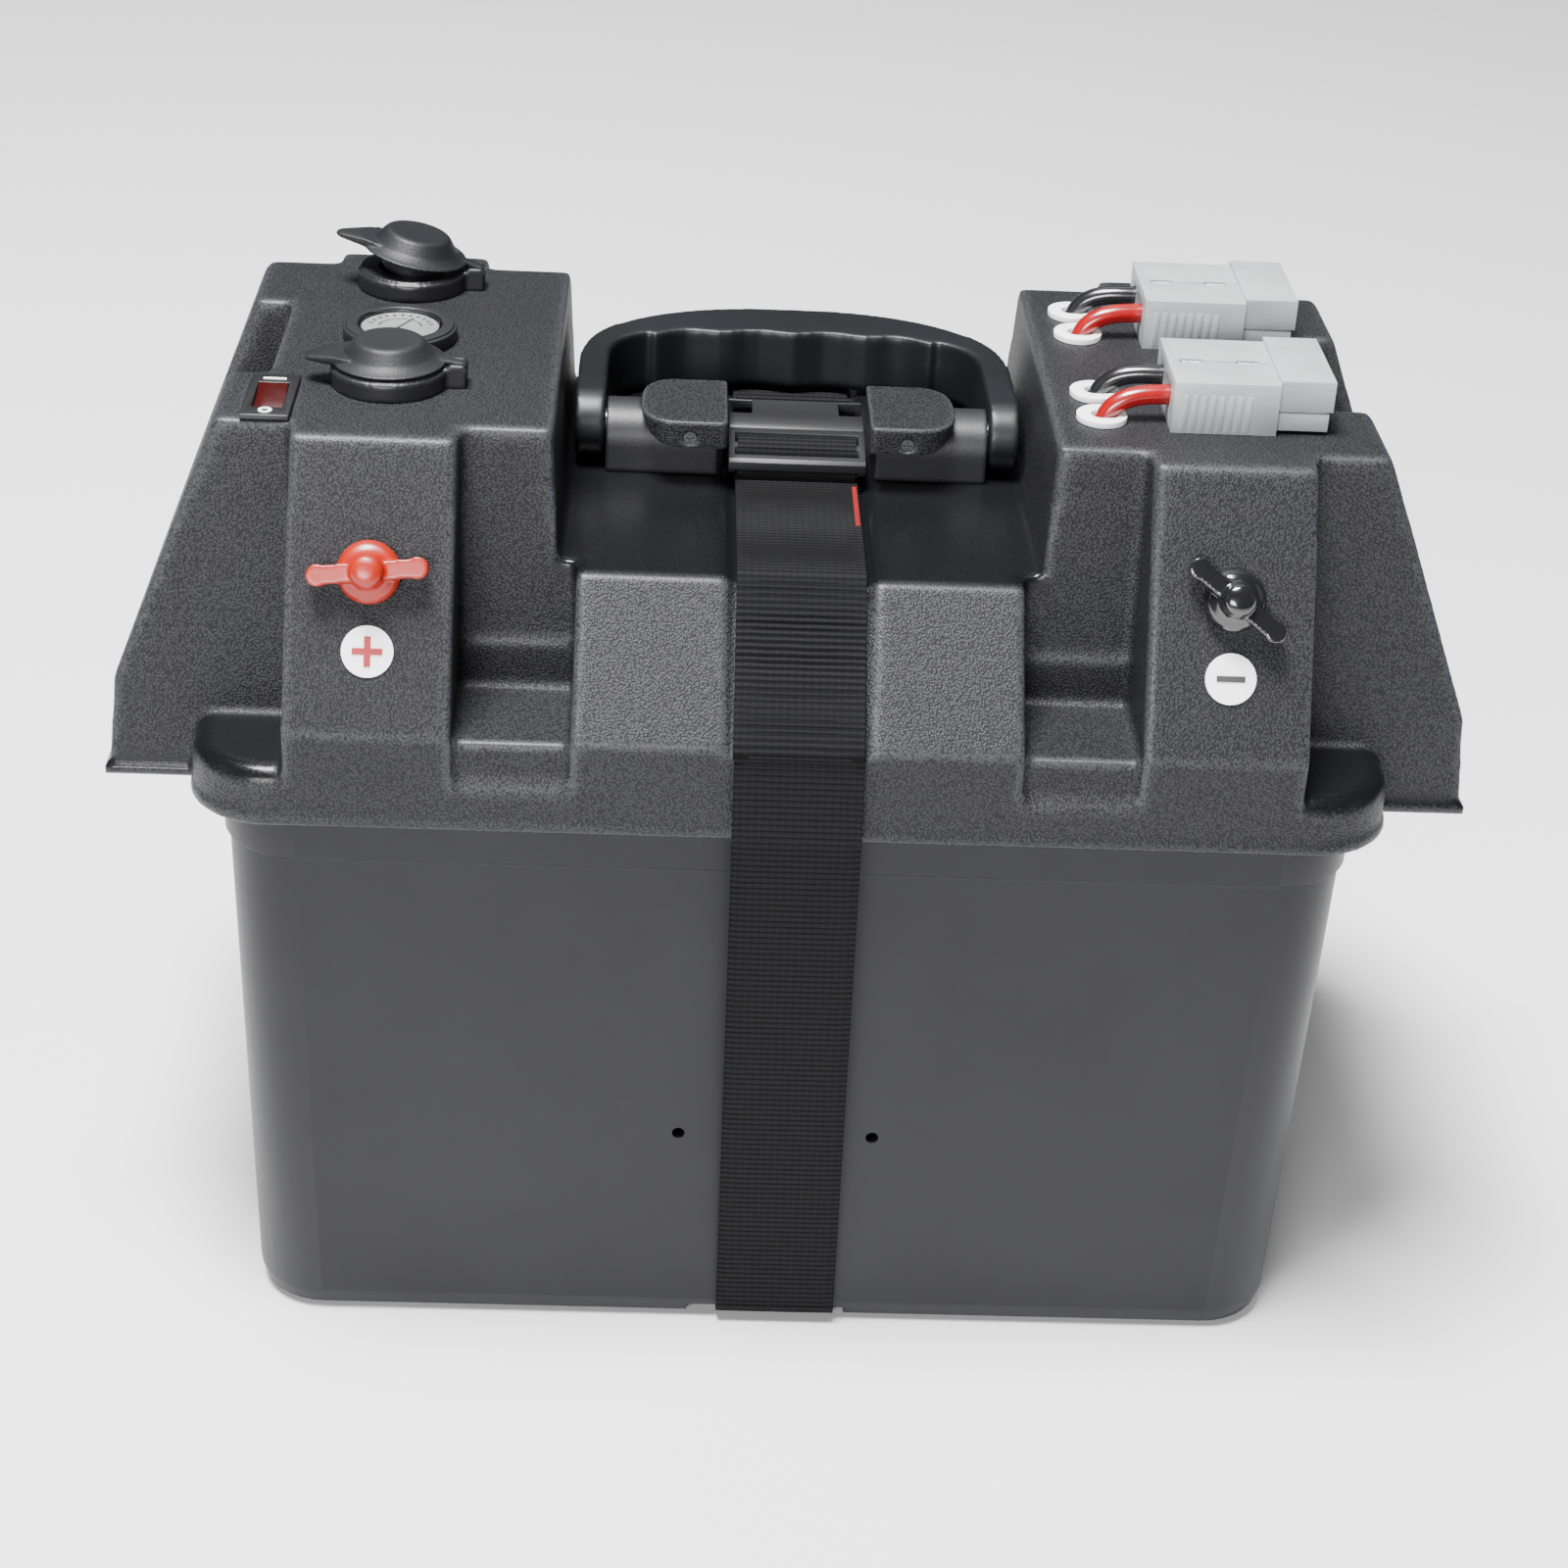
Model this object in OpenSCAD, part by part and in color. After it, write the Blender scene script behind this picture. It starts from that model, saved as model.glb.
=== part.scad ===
// Carry box for a leisure battery: a drafted tub, a lid with two raised towers,
// a folding handle, a webbing strap with a side-release buckle, two capped
// 12 V sockets, a charge gauge, a breaker rocker, two terminal studs with wing
// nuts, and two two-pole connectors on short leads.
// The origin is on the ground under the middle of the tub. X runs along the
// length, -Y is the front with the terminals, +Z is up.

/* [Tub] */
// Length of the tub at its base
tub_len = 331; // [320:1:400]
// Depth of the tub at its base, front to back
tub_dep = 207; // [190:1:260]
// Height of the tub's rim above the ground
tub_h = 203; // [160:1:260]
// Wall thickness of the tub
tub_wall = 3; // [2:0.5:4]
// How far each wall leans out between the base and the top band
tub_flare = 3.5; // [1:0.5:6]
// Radius of the tub's upright corners
tub_corner = 22; // [15:1:30]
// Height of the thicker band under the rim
band_h = 31.5; // [24:0.5:40]
// How far the band stands out from the wall
band_step = 1.5; // [0.5:0.5:2.5]
// Height of the two wall holes above the ground
hole_z = 74.4; // [40:0.2:120]
// Distance between the two wall holes
hole_gap = 61; // [50:1:90]
// Radius of the wall holes
hole_r = 2; // [1.5:0.1:3]

/* [Lid] */
// Wall thickness of the lid
lid_wall = 3; // [2:0.5:3.5]
// Free space between the tub's band and the inside of the skirt
skirt_gap = 4.7; // [3:0.1:8]
// Height of the skirt from its lip to its flat roof
skirt_h = 18.3; // [14:0.1:26]
// Plan radius of the skirt's corners
skirt_corner = 25; // [18:1:32]
// Height of the middle deck above the skirt's roof
deck_rise = 49.7; // [40:0.1:60]
// Height of the towers above the deck
tower_rise = 39; // [30:1:50]
// Length of a tower's flat top along X
tower_top = 98.5; // [92:0.5:110]
// Width of a terminal panel
panel_w = 48.5; // [44:0.5:54]
// Half width of the middle ramp
ramp_half = 66; // [60:1:70]
// How far an ear reaches past the skirt
ear_out = 26.8; // [20:0.2:36]

/* [Strap] */
// Width of the webbing
web_w = 38; // [30:1:38]
// Thickness of the webbing
web_t = 1.6; // [1:0.1:2]
// Side clearance of the strap in its channel
web_clear = 2.5; // [1:0.1:4]
// Depth of the strap channel in the lid
web_chan = 2.2; // [2:0.1:3]

/* [Handle] */
// Width of each handle arm along X
arm_w = 9.5; // [7:0.5:12]
// Radius of the handle's round hubs
hub_r = 10.9; // [8:0.1:12]
// Radius of the handle's pivot pins
pivot_r = 4; // [3:0.1:5]
// Distance from the pivot to the outer edge of the grip
grip_reach = 85; // [75:1:100]
// Width of the grip in the plane of the handle
grip_w = 26; // [18:1:30]
// Thickness of the grip
grip_t = 19; // [14:1:20]

/* [Sockets] */
// Radius of a socket's flange and of the gauge's bezel
flange_r = 17.5; // [16:0.1:18]
// Radius of a socket's threaded barrel
barrel_r = 14.2; // [13:0.1:14.5]
// Radius of a socket's bore
bore_r = 10.6; // [10:0.1:11]
// Height of a socket's flange above the tower
flange_h = 6.5; // [4:0.5:9]
// Angle at which the rear socket's cap rests open
cap_ajar = 11.5; // [4:0.5:40]

/* [Terminals] */
// Radius of the terminal studs
stud_r = 4; // [3:0.1:5]
// Distance from wing tip to wing tip of a wing nut
wing_span = 35; // [30:1:44]
// Radius of the polarity labels
label_r = 7.5; // [6:0.1:9]

/* [Connectors] */
// Length of a two-pole connector housing
con_len = 48; // [44:1:52]
// Width of a two-pole connector housing
con_w = 36.5; // [34:0.5:38]
// Height of a two-pole connector housing
con_h = 15.9; // [14:0.1:17]
// Diameter of a lead
lead_d = 6.3; // [5:0.1:7]
// Radius of a cable grommet
grommet_r = 7.6; // [7:0.1:9]

/* [Hidden] */
$fn = 48;
tub_hl = tub_len / 2;                       // half length at the base
tub_hd = tub_dep / 2;                       // half depth at the base
band_z = tub_h - band_h;                    // underside of the band
band_hl = tub_hl + tub_flare + band_step;   // half sizes of the band
band_hd = tub_hd + tub_flare + band_step;
base_r = 8;                                 // rounding of the base edge
groove_hw = web_w / 2 + 6.7;                // strap groove under the base
groove_d = 5;
lid_hl = band_hl + skirt_gap + lid_wall;    // half sizes of the skirt
lid_hd = band_hd + skirt_gap + lid_wall;
roof_z = tub_h + 0.3 + lid_wall;            // flat roof of the skirt
lip_z = roof_z - skirt_h;                   // lower edge of the skirt
deck_z = roof_z + deck_rise;                // top of the middle deck
top_z = deck_z + tower_rise;                // top of the towers
tow_out = lid_hl - 6.2;                     // outer edge of a tower's top
tow_in = tow_out - tower_top;               // inner edge of a tower's top
tow_hd = lid_hd - 48.2;                     // half depth of the towers at the top
pan_x = lid_hl - 53.5;                      // middle of a terminal panel
pan_top = tow_hd + 9.7;                     // panel's half depth at the top
step_z = roof_z + 11.7;                     // foot of the sloped panels
shelf_z = roof_z + 9.7;                     // notch shelf
ledge_z = roof_z + 24.7;                    // ledge above the shelf's back wall
ramp_hd = lid_hd - 35.5;                    // deck's front and back edge
ear_x = lid_hl + ear_out;                   // outside of an ear at its lip
ear_z = lip_z - 3;                          // lower edge of an ear
chan_hw = web_w / 2 + web_clear;            // strap channel half width
lean = atan((lid_hd - pan_top) / (top_z - step_z)); // lean of a panel
hub_y = 5;                                  // handle pivot
hub_z = deck_z + 12.5;
hub_x1 = tow_in - 4;                        // outer face of a hub
hub_x0 = hub_x1 - arm_w;
blk_r = 11.5;                               // rounded top of a mount block
blk_x0 = chan_hw + 3;
pad_x0 = chan_hw + 0.6;                     // cover on the mount block
pad_x1 = hub_x0 - 11;
pad_y0 = hub_y - 22;
pad_y1 = hub_y + 14;
pad_z0 = deck_z + 13.2;
pad_z1 = deck_z + 22;
screw_x = (pad_x0 + pad_x1) / 2 - 2;
screw_z = deck_z + 16.6;
soc_x = -(tow_in + tow_out) / 2 - 1;        // sockets and gauge
soc_y = [-(tow_hd - 33), tow_hd - 19];
gau_y = soc_y[0] + 2 * flange_r + 1.5;
hin_x = flange_r + 3.8;                     // cap hinge from the socket's axis
hin_z = top_z + flange_h - 1;
rok_x = -(tow_out - 15);                    // breaker rocker
rok_y = -(tow_hd - 16);
trm_z = deck_z + 4.5;                       // terminal studs
lab_z = deck_z - 15.8;                      // polarity labels
con_x = tow_in + 34.5;                      // left end of the connectors
con_y = [-35, 33.5];
pole = 8;                                   // cable offset in a connector
grm_x = tow_in + 15;                        // cable grommets

// ---- helpers ----
function flip(p) = [for (i = [len(p) - 1:-1:0]) [-p[i][0], p[i][1]]];
// a prism along X whose section is given in (y, z), from x0 to x1
module along_x(x0, x1, p) translate([x0, 0, 0]) rotate([90, 0, 90])
    linear_extrude(x1 - x0) polygon(p);
// the same with the section mirrored to the back of the box
module both_x(x0, x1, p) along_x(x0, x1, concat(p, flip(p)));
// a prism along Y whose section is given in (x, z), from y0 to y1
module along_y(y0, y1, p) translate([0, y1, 0]) rotate([90, 0, 0])
    linear_extrude(y1 - y0) polygon(p);
module box(x0, x1, y0, y1, z0, z1)
    translate([x0, y0, z0]) cube([x1 - x0, y1 - y0, z1 - z0]);
module rod(r, z0, z1) translate([0, 0, z0]) cylinder(r = r, h = z1 - z0);
module ring(r0, r1, z0, z1) difference() {
    rod(r1, z0, z1);
    rod(r0, z0 - 1, z1 + 1);
}
// a block with round upright corners whose edge section is p, in (r, z)
module turned_block(hl, hd, r, p) {
    z0 = min([for (q = p) q[1]]);
    z1 = max([for (q = p) q[1]]);
    for (sx = [-1, 1], sy = [-1, 1])
        translate([sx * (hl - r), sy * (hd - r), 0]) rotate_extrude() polygon(p);
    out = [for (q = p) if (q[0] > 0) q];
    along_y(-(hd - r), hd - r, concat(
        [for (q = out) [hl - r + q[0], q[1]]], flip([for (q = out) [hl - r + q[0], q[1]]])));
    both_x(-(hl - r), hl - r, [for (q = out) [-(hd - r + q[0]), q[1]]]);
}
// a flat rounded plate used by the drafted tub
module plate(hl, hd, r, z, h) translate([0, 0, z]) linear_extrude(h)
    for (sx = [-1, 1], sy = [-1, 1]) translate([sx * (hl - r), sy * (hd - r)])
        circle(r = r, $fn = 32);

// ---- tub ----
module tub_outer() hull() {
    plate(tub_hl - base_r * 0.62, tub_hd - base_r * 0.62, tub_corner - 5, 0, 1);
    plate(tub_hl - base_r * 0.16, tub_hd - base_r * 0.16, tub_corner - 1, base_r * 0.3, 1);
    plate(tub_hl + 0.2, tub_hd + 0.2, tub_corner, base_r, 1);
    plate(tub_hl + tub_flare, tub_hd + tub_flare, tub_corner, band_z - 1, 2);
}
module tub_inner() hull() {
    w = tub_wall;
    plate(tub_hl - w - 3, tub_hd - w - 3, tub_corner - w - 2, w + 1, 1);
    plate(tub_hl - w, tub_hd - w, tub_corner - w, base_r + w, 1);
    plate(tub_hl + tub_flare - w, tub_hd + tub_flare - w, tub_corner - w, band_z, 40);
}
module tub() color([0.17, 0.17, 0.18]) {
    rim = tub_corner + band_step;
    difference() {
        union() {
            tub_outer();
            turned_block(band_hl, band_hd, rim, [[0, band_z], [rim - band_step, band_z],
                [rim, band_z + 1.5], [rim, tub_h], [0, tub_h]]);
            // end flanges under the ears
            for (s = [-1, 1]) box(s > 0 ? band_hl - 2 : -band_hl - 15, s > 0 ? band_hl + 15
                : -band_hl + 2, -70, 70, lip_z - 9, lip_z - 6);
        }
        difference() {
            tub_inner();
            // floor rib over the strap groove
            box(-groove_hw - 3, groove_hw + 3, -lid_hd, lid_hd, 0, groove_d + 3.5);
        }
        // strap groove under the base
        box(-groove_hw, groove_hw, -lid_hd, lid_hd, -1, groove_d);
        for (s = [-1, 1]) translate([s * hole_gap / 2, -tub_hd - 8, hole_z])
            rotate([-90, 0, 0]) cylinder(r = hole_r, h = 16);
    }
}

// ---- lid ----
// front half of each section, in (y, z), shrunk inward by d
function sec_tower(d) = [[-(tow_hd + 14.2 - d), ear_z], [-(tow_hd + 11 - d), ear_z + 31],
    [-(tow_hd - d), top_z - d]];
function sec_notch(d, zt) = [[-(tow_hd + 9 - d), lip_z], [-(tow_hd + 9 - d), ledge_z],
    [-(tow_hd + 7.5 - d), ledge_z],
    [-(tow_hd + 7.5 - d - (zt - ledge_z) * 7.5 / (top_z - ledge_z)), zt - d]];
function sec_shelf(d) = [[-(lid_hd - 2.8 - d), lip_z], [-(lid_hd - 2.8 - d), shelf_z - d]];
function sec_panel(d) = [[-(lid_hd - d), lip_z], [-(lid_hd - d), step_z - d * 0.3],
    [-(pan_top - d * 0.9), top_z - d]];
function sec_ramp(d) = [[-(lid_hd - d), lip_z], [-(lid_hd - d), step_z - d * 0.4],
    [-(ramp_hd - d * 0.4), deck_z - d]];
// tower outline in (x, z)
function out_tower(d) = [[tow_in - 4 + d, ear_z - 1], [ear_x + 1.4 - d, ear_z - 1],
    [ear_x + 1.4 - d, ear_z + 2.5], [ear_x - d, ear_z + 3], [ear_x - 2.5 - d, ear_z + 31],
    [tow_out - d * 1.1, top_z - d], [tow_in + d, top_z - d], [tow_in - 1.7 + d, deck_z]];
module skirt(d) {
    r = skirt_corner - d;
    turned_block(lid_hl - d, lid_hd - d, r, d > 0 ?
        [[0, lip_z - 1], [r, lip_z - 1], [r, roof_z - d - 4], [r - 1, roof_z - d - 1.5],
         [r - 4, roof_z - d], [0, roof_z - d]] :
        [[0, lip_z], [r + 0.7, lip_z], [r + 1.2, lip_z + 1.2], [r + 0.9, lip_z + 2.6],
         [r, lip_z + 3.4], [r, roof_z - 6], [r - 0.5, roof_z - 3.7], [r - 1.8, roof_z - 1.8],
         [r - 3.7, roof_z - 0.5], [r - 6, roof_z], [0, roof_z]]);
}
module tower_zone(d) for (s = [0, 1]) mirror([s, 0, 0]) {
    // ear and outer part of the tower
    intersection() {
        both_x(pan_x, ear_x + 5, d > 0 ? sec_tower(d) :
            concat([[-(tow_hd + 15.6), ear_z], [-(tow_hd + 15.6), ear_z + 2.5]],
            [[-(tow_hd + 14.2), ear_z + 3], sec_tower(0)[1], sec_tower(0)[2]]));
        along_y(-lid_hd, lid_hd, out_tower(d));
    }
    // inner part of the tower
    intersection() {
        both_x(tow_in - 4, pan_x + panel_w / 2, sec_notch(d, top_z));
        along_y(-lid_hd, lid_hd, out_tower(d));
    }
    // terminal panel, repeated at the back
    both_x(pan_x - panel_w / 2 + d, pan_x + panel_w / 2 - d, sec_panel(d));
    // shelf in the notch
    both_x(ramp_half - 8, pan_x, sec_shelf(d));
}
module lid_form(d) {
    skirt(d);
    tower_zone(d);
    both_x(-(tow_in - 1), tow_in - 1, sec_notch(d, deck_z));
    both_x(-(ramp_half - d), ramp_half - d, sec_ramp(d));
}
// where a panel's surface is at height z, and its outward direction
function pan_y(z) = -lid_hd + (z - step_z) * tan(lean);
module on_panel(s, z) translate([s * pan_x, pan_y(z), z]) rotate([90 - lean, 0, 0]) children();
module lid() color([0.13, 0.13, 0.14]) difference() {
    union() {
        difference() {
            lid_form(0);
            difference() {
                lid_form(lid_wall);
                // walls round the hand pockets
                for (s = [0, 1]) mirror([s, 0, 0]) box(tow_out - 12 - lid_wall, ear_x + 5,
                    -29 - lid_wall, 29 + lid_wall, top_z - 45 - lid_wall, top_z);
            }
        }
        // skirt walls that close the ears off from the tub
        for (s = [0, 1]) mirror([s, 0, 0])
            box(lid_hl - lid_wall, lid_hl, -tow_hd - 12, tow_hd + 12, lip_z, roof_z);
    }
    // open below the lip, inside the skirt
    box(-lid_hl, lid_hl, -lid_hd, lid_hd, ear_z - 3, lip_z);
    // hand pockets in the outer edge of each tower
    for (s = [0, 1]) mirror([s, 0, 0])
        box(tow_out - 12, tow_out + 30, -29, 29, top_z - 45, top_z + 1);
    // strap channel over the deck and both ramps
    difference() {
        both_x(-chan_hw, chan_hw, [[-lid_hd - 5, step_z - 4], [-lid_hd - 5, top_z],
            [0, top_z]]);
        both_x(-chan_hw - 1, chan_hw + 1, [[-lid_hd - 6, lip_z],
            [-lid_hd - 6, step_z - 1.9], [-lid_hd, step_z - 1.9],
            [-(ramp_hd - 0.4 * web_chan), deck_z - web_chan]]);
    }
    // fine grooves beside the channel
    for (s = [-1, 1]) difference() {
        both_x(s * (chan_hw + 2.5) - 0.6, s * (chan_hw + 2.5) + 0.6,
            [[-lid_hd - 0.6, step_z], [-ramp_hd, deck_z + 0.6]]);
        both_x(-40, 40, [[-lid_hd + 0.7, lip_z], [-lid_hd + 0.7, step_z - 0.2],
            [-ramp_hd + 0.3, deck_z - 0.8]]);
    }
    for (y = soc_y) translate([soc_x, y, 0]) rod(barrel_r + 0.1, top_z - 10, top_z + 1);
    translate([soc_x, gau_y, 0]) rod(barrel_r + 0.1, top_z - 10, top_z + 1);
    box(rok_x - 5.6, rok_x + 5.6, rok_y - 12.6, rok_y + 12.6, top_z - 10, top_z + 1);
    for (s = [-1, 1]) on_panel(s, trm_z) rod(stud_r + 0.1, -10, 5);
    for (i = [0, 1], k = [-1, 1]) translate([grm_x, con_y[i] + k * (pole + 1.6), 0])
        rod(5.6, top_z - 10, top_z + 1);
}

// ---- handle, folded back against the deck ----
function sup(t, a, b, n) = [a * sign(cos(t)) * pow(abs(cos(t)), 2 / n),
    b * pow(abs(sin(t)), 2 / n)];
grip_y1 = hub_y + grip_reach;
grip_y0 = grip_y1 - grip_w;
module handle() color([0.12, 0.12, 0.13]) {
    a1 = hub_x1;
    b1 = grip_reach - 30;
    a0 = hub_x0;
    b0 = grip_reach - grip_w - 27;
    outer = concat([[a1, hub_y]], [for (t = [0:6:180]) sup(t, a1, b1, 2.3) + [0, hub_y + 30]],
        [[-a1, hub_y]]);
    inner = concat([[a0, hub_y - 20]],
        [for (t = [0:3:180]) let (q = sup(t, a0, b0 + 3, 3.4))
            q + [0, hub_y + 27 - (abs(q[0]) < a0 * 0.78 ?
                1.5 + 1.2 * cos(360 * q[0] / (a0 * 0.39)) : 0)]], [[-a0, hub_y - 20]]);
    difference() {
        intersection() {
            translate([0, 0, deck_z]) linear_extrude(40) difference() {
                union() {
                    polygon(outer);
                    for (s = [-1, 1]) translate([s > 0 ? a0 : -a1, hub_y - 15])
                        square([arm_w, 16]);
                }
                polygon(inner);
            }
            union() {
                along_x(-a1 - 1, a1 + 1, [[hub_y, hub_z - hub_r], [hub_y, hub_z + hub_r],
                    [grip_y1 + 1, deck_z + 1.4 + grip_t], [grip_y1 + 1, deck_z + 1.4]]);
                translate([-a1 - 1, hub_y, hub_z]) rotate([0, 90, 0])
                    cylinder(r = hub_r, h = 2 * a1 + 2);
            }
        }
        for (s = [-1, 1]) translate([s > 0 ? a0 - 1 : -(a1 - 1.5), hub_y, hub_z])
            rotate([0, 90, 0]) cylinder(r = pivot_r + 0.05, h = arm_w - 0.5);
    }
}
module pivot_pins() color([0.55, 0.56, 0.58]) for (s = [-1, 1])
    translate([s > 0 ? hub_x0 - 12 : -(hub_x1 - 2), hub_y, hub_z]) rotate([0, 90, 0])
        cylinder(r = pivot_r, h = arm_w + 10);
module mount_block() difference() {
    union() {
        box(blk_x0, hub_x0 - 0.3, hub_y - blk_r, hub_y + blk_r, deck_z, hub_z - 4);
        translate([blk_x0, hub_y, hub_z - 4]) rotate([0, 90, 0])
            cylinder(r = blk_r, h = hub_x0 - 0.3 - blk_x0);
    }
    translate([hub_x0 - 12, hub_y, hub_z]) rotate([0, 90, 0])
        cylinder(r = pivot_r, h = 20);
    for (k = [-1, 1]) translate([screw_x, hub_y + k * 12, screw_z]) rotate([90, 0, 0])
        cylinder(r = 1.4, h = 18, center = true);
    // flat foot on the deck
    box(blk_x0 - 1, hub_x0, hub_y - 20, hub_y + 20, deck_z - 10, deck_z);
    // seat for the cover
    box(blk_x0 - 1, pad_x1 + 0.1, hub_y - 20, hub_y + 20, pad_z1 - 3, pad_z1 + 5);
}
module mount_block_left() color([0.15, 0.15, 0.16]) mirror([1, 0, 0]) mount_block();
module mount_block_right() color([0.15, 0.15, 0.16]) mount_block();
module mount_cover() difference() {
    translate([0, 0, pad_z0]) linear_extrude(pad_z1 - pad_z0) {
        r = (pad_y1 - pad_y0) / 2;
        polygon(concat([[pad_x0, pad_y0 + 1], [pad_x0, pad_y1 - 1], [pad_x0 + 1, pad_y1]],
            [for (t = [90:-10:0]) [pad_x1 - 13, (pad_y0 + pad_y1) / 2] + sup(t, 13, r, 2.7)],
            [for (t = [10:10:90]) let (q = sup(t, 13, r, 2.7)) [pad_x1 - 13 + q[0],
                (pad_y0 + pad_y1) / 2 - q[1]]], [[pad_x0 + 1, pad_y0]]));
    }
    // rounded under its outer end
    along_y(pad_y0 - 1, pad_y1 + 1, [[pad_x1 - 11, pad_z0 - 1], [pad_x1 - 11, pad_z0],
        [pad_x1 - 6.5, pad_z0 + 0.9], [pad_x1 - 3, pad_z0 + 3], [pad_x1 - 0.8, pad_z0 + 6.2],
        [pad_x1, pad_z1 - 2], [pad_x1 + 2, pad_z1 - 2], [pad_x1 + 2, pad_z0 - 1]]);
    // fits over the block
    box(blk_x0 - 0.1, pad_x1 + 1, hub_y - blk_r - 0.1, hub_y + blk_r + 0.1,
        pad_z0 - 1, pad_z1 - 3);
    for (k = [-1, 1]) translate([screw_x, hub_y + k * 20, screw_z]) {
        rotate([90, 0, 0]) cylinder(r = 1.6, h = 20, center = true);
    }
    translate([screw_x, pad_y0, screw_z]) rotate([90, 0, 0])
        cylinder(r = 2.1, h = 4, center = true);
    translate([screw_x, pad_y1, screw_z]) rotate([90, 0, 0])
        cylinder(r = 2.1, h = 4, center = true);
}
module mount_cover_left() color([0.2, 0.2, 0.21]) mirror([1, 0, 0]) mount_cover();
module mount_cover_right() color([0.2, 0.2, 0.21]) mount_cover();
module cover_screws() color([0.7, 0.7, 0.72]) for (s = [-1, 1], k = [-1, 1]) {
    face = k < 0 ? pad_y0 : pad_y1;
    translate([s * screw_x, face - k * 2, screw_z]) rotate([-k * 90, 0, 0]) {
        difference() {
            cylinder(r = 2, h = 1.6);
            for (a = [0, 90]) rotate([0, 0, a]) translate([-1.4, -0.3, 0.8])
                cube([2.8, 0.6, 2]);
        }
        // the shaft ends 4 mm from the pivot's plane
        translate([0, 0, 6 - abs(face - hub_y)]) cylinder(r = 1.35, h = abs(face - hub_y) - 6);
    }
}

// ---- strap ----
lid_y = lid_hd + 1.5;                         // where the strap clears the lip
web_under = groove_d - 0.8;                   // upper face of the run under the base
chan_z = deck_z - web_chan;                   // floor of the channel on the deck
// the front half of the strap's inner face, from under the base up to the deck
function web_path(o) = [[0, web_under - o], [-(tub_hd + 0.5 + o * 0.4), web_under - o],
    [-(tub_hd + 0.8 + o), web_under + 3], [-(lid_y + 0.3 + o), lip_z + 1],
    [-(lid_hd + 0.3 + o), step_z - 1.4 + o * 0.4],
    [-(ramp_hd - 0.4 * web_chan + 0.2 + o * 0.45), chan_z + 0.3 + o], [0, chan_z + 0.3 + o]];
plug_y = -14;                                 // front end of the buckle
rear_y = 37;                                  // rear end of the buckle's webbing
module strap_loop() color([0.1, 0.1, 0.1]) {
    p0 = web_path(0);
    p1 = web_path(web_t);
    difference() {
        both_x(-web_w / 2, web_w / 2, p1);
        both_x(-web_w / 2 - 1, web_w / 2 + 1, p0);
        // the loop is open under the buckle
        box(-40, 40, plug_y + 11, rear_y - 6, deck_z - 10, deck_z + 10);
    }
}
module strap_tail() color([0.1, 0.1, 0.1]) {
    g = web_t + 0.3;
    q0 = web_path(g);
    q1 = web_path(g + web_t);
    t = 0.9;
    e0 = q0[4] * t + q0[5] * (1 - t);
    e1 = q1[4] * t + q1[5] * (1 - t);
    along_x(-web_w / 2, web_w / 2, [e0, e1, q1[5], [plug_y + 3.4, q1[6][1]],
        [plug_y + 3.4, q0[6][1]], q0[5]]);
}

// ---- buckle ----
buc_z0 = chan_z + 0.3 + web_t + 0.3;          // underside, on the webbing
buc_hw = web_w / 2 + 2.3;
buc_h = 13;
mid_y = 4.5;                                  // mouth of the housing
module buckle_housing() color([0.09, 0.09, 0.1]) {
    z1 = buc_z0 + buc_h;
    difference() {
        along_x(-buc_hw, buc_hw, [[mid_y, buc_z0], [mid_y, z1 - 1], [mid_y + 2, z1],
            [26, z1], [27.5, z1 - 2.4], [34, z1 - 3], [35.5, z1 - 4.5], [35.5, buc_z0 + 3],
            [33, buc_z0]]);
        // hollow for the plug's tongue and prongs
        box(-buc_hw + 2, buc_hw - 2, mid_y - 1, 25.5, buc_z0 + 3, z1 - 3);
        // side windows that show the prongs
        for (s = [-1, 1]) box(s > 0 ? buc_hw - 7.5 : -buc_hw - 1, s > 0 ? buc_hw + 1
            : -buc_hw + 7.5, 14.5, 25, buc_z0 + 3, z1 + 1);
        // slot for the sewn webbing end
        box(-web_w / 2 - 0.5, web_w / 2 + 0.5, 28.5, 31.5, buc_z0 - 1, z1 + 1);
    }
}
module buckle_plug() color([0.09, 0.09, 0.1]) {
    z0 = buc_z0;
    difference() {
        union() {
            // ladder frame
            along_x(-buc_hw, buc_hw, [[plug_y, z0 + 5.5], [plug_y, z0 + 8], [plug_y + 1, z0 + 9],
                [mid_y - 4, z0 + 12], [mid_y - 0.4, z0 + 12], [mid_y - 0.4, z0 + 3],
                [plug_y + 4, z0 + 3.5]]);
            // centre tongue
            box(-5, 5, mid_y - 1, 21, z0 + 4, z0 + 9);
        }
        box(-web_w / 2 - 0.4, web_w / 2 + 0.4, plug_y + 3, plug_y + 7, z0 - 1, z0 + 20);
        box(-web_w / 2 - 0.4, web_w / 2 + 0.4, plug_y + 9.5, mid_y - 3.5, z0 - 1, z0 + 20);
    }
    // webbing side guides
    for (s = [-1, 1]) box(s * (buc_hw - 1) - 1, s * (buc_hw - 1) + 1, plug_y + 4, mid_y - 4,
        z0 + 3, z0 + 8);
}
module prong() {
    z0 = buc_z0 + 4;
    z1 = buc_z0 + buc_h - 4;
    translate([0, 0, z0]) linear_extrude(z1 - z0) polygon([[buc_hw - 7.6, mid_y - 0.2],
        [buc_hw - 4, mid_y - 0.2], [buc_hw - 4, 14.7], [buc_hw - 0.6, 16], [buc_hw - 0.2, 17.5],
        [buc_hw - 2.4, 23], [buc_hw - 5.2, 23], [buc_hw - 7.6, 18.5]]);
}
module release_prong_left() color([0.09, 0.09, 0.1]) mirror([1, 0, 0]) prong();
module release_prong_right() color([0.09, 0.09, 0.1]) prong();

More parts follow.
